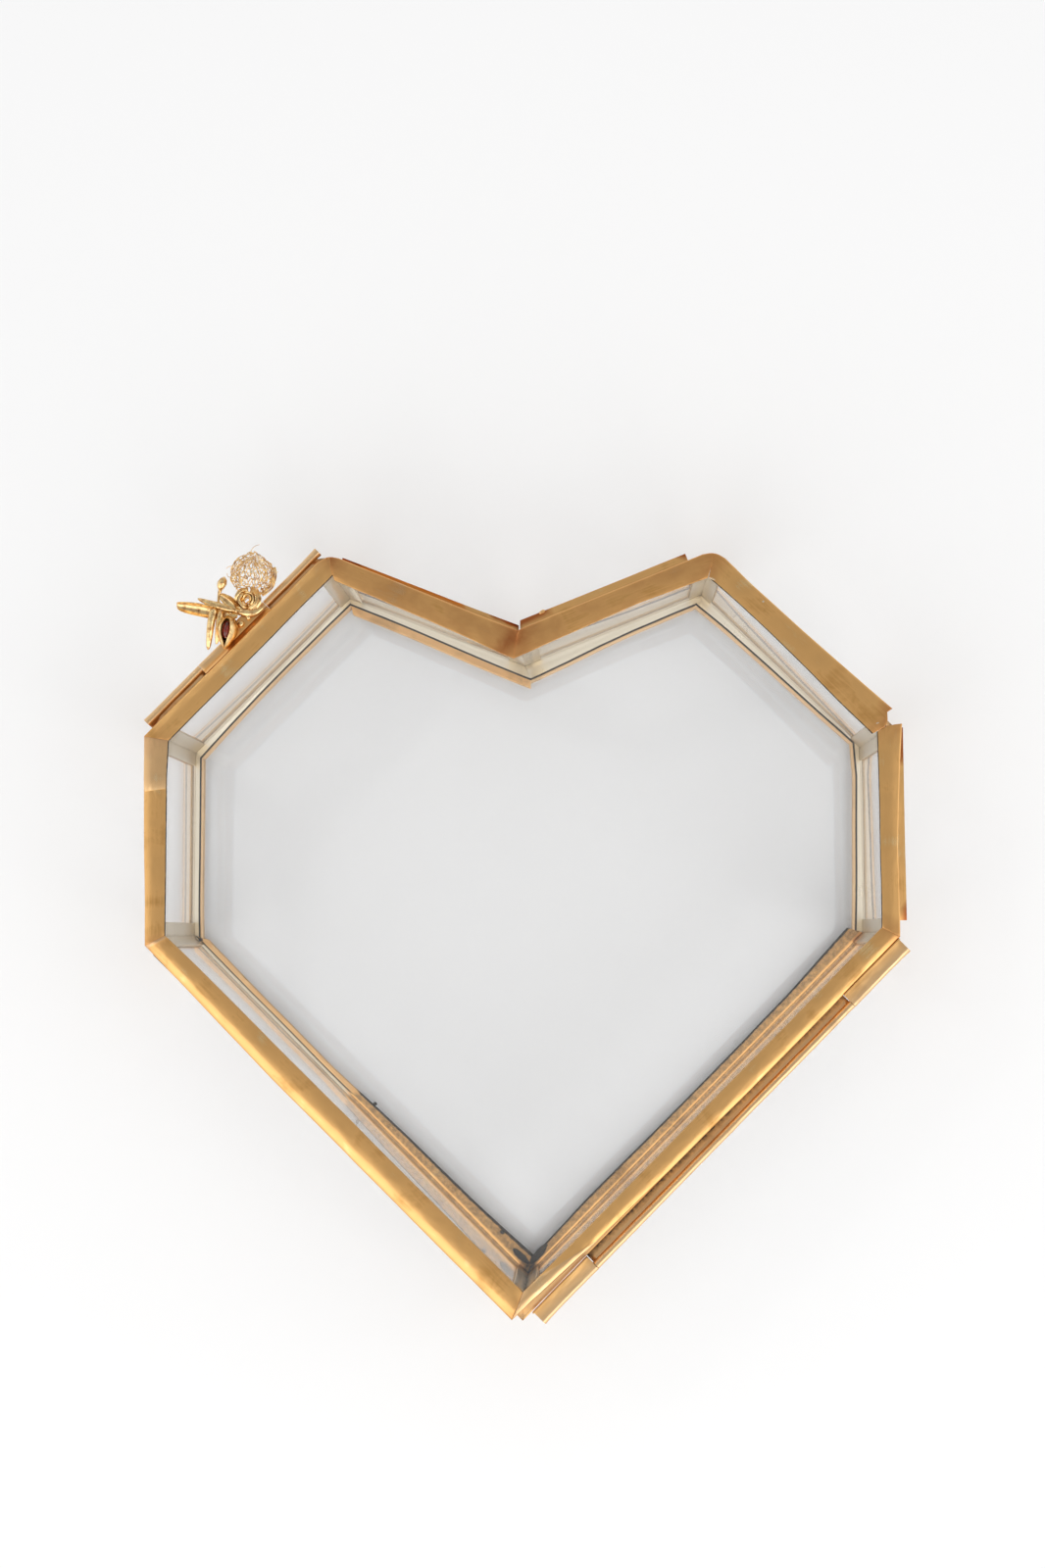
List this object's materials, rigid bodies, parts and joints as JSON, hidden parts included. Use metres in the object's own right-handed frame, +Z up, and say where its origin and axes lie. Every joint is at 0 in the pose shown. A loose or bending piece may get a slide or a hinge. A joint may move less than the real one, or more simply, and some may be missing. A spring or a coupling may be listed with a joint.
{
  "type": "glass casket box",
  "caption": "Heart-shaped glass casket with folded brass channels, a pinned swinging lid, clasp barrels and a brass flower spray.",
  "frame": {"origin": "middle of the case's underside, on the line through the heart's tip and notch, level with the lower ends of the straight sides", "axes": "+Z up, +Y from the tip to the notch, +X to the hinge's upper end on the right"},
  "size_m": [0.1972, 0.1989, 0.0554],
  "materials": {
    "clear_glass": "clear flat sheet glass",
    "folded_brass": "satin folded sheet with rubbed edges and solder marks",
    "gilt_brass": "bright formed sheet and wire",
    "pin_wire": "drawn wire",
    "red_stone": "polished paste stone"
  },
  "bodies": {
    "case": {"floor_glass": "clear_glass", "floor_channel_hinge": "folded_brass", "floor_channel_right": "folded_brass", "floor_channel_upper_right": "folded_brass", "floor_channel_notch_right": "folded_brass", "floor_channel_notch_left": "folded_brass", "floor_channel_clasp": "folded_brass", "floor_channel_left": "folded_brass", "floor_channel_lower_left": "folded_brass", "wall_channel_hinge": "folded_brass", "wall_channel_right": "folded_brass", "wall_channel_upper_right": "folded_brass", "wall_channel_notch_right": "folded_brass", "wall_channel_notch_left": "folded_brass", "wall_channel_clasp": "folded_brass", "wall_channel_left": "folded_brass", "wall_channel_lower_left": "folded_brass", "wall_glass_hinge": "clear_glass", "wall_glass_right": "clear_glass", "wall_glass_upper_right": "clear_glass", "wall_glass_notch_right": "clear_glass", "wall_glass_notch_left": "clear_glass", "wall_glass_clasp": "clear_glass", "wall_glass_left": "clear_glass", "wall_glass_lower_left": "clear_glass", "wall_hinge_barrel": "folded_brass", "hinge_pin": "pin_wire", "shoulder_clasp_barrel": "folded_brass", "side_clasp_barrel": "folded_brass"},
    "lid": {"lid_glass": "clear_glass", "lid_channel_hinge": "folded_brass", "lid_channel_right": "folded_brass", "lid_channel_upper_right": "folded_brass", "lid_channel_notch_right": "folded_brass", "lid_channel_notch_left": "folded_brass", "lid_channel_clasp": "folded_brass", "lid_channel_left": "folded_brass", "lid_channel_lower_left": "folded_brass", "tip_hinge_barrel": "folded_brass", "side_hinge_barrel": "folded_brass", "lid_clasp_barrel": "folded_brass", "spray_backing": "folded_brass", "rosette": "gilt_brass", "net_blossom": "gilt_brass", "bud": "gilt_brass", "long_leaf": "gilt_brass", "thin_leaf": "gilt_brass", "drooping_leaves": "gilt_brass", "stone_calyx": "gilt_brass", "stone": "red_stone", "beads": "gilt_brass"}
  },
  "joints": [
    {"name": "lid_hinge", "type": "hinge", "parent": "case", "child": "lid", "pos_m": [0.05172, -0.04949, 0.0469], "axis": [0.7071, 0.7071, 0], "range_deg": [0, 180]}
  ]
}
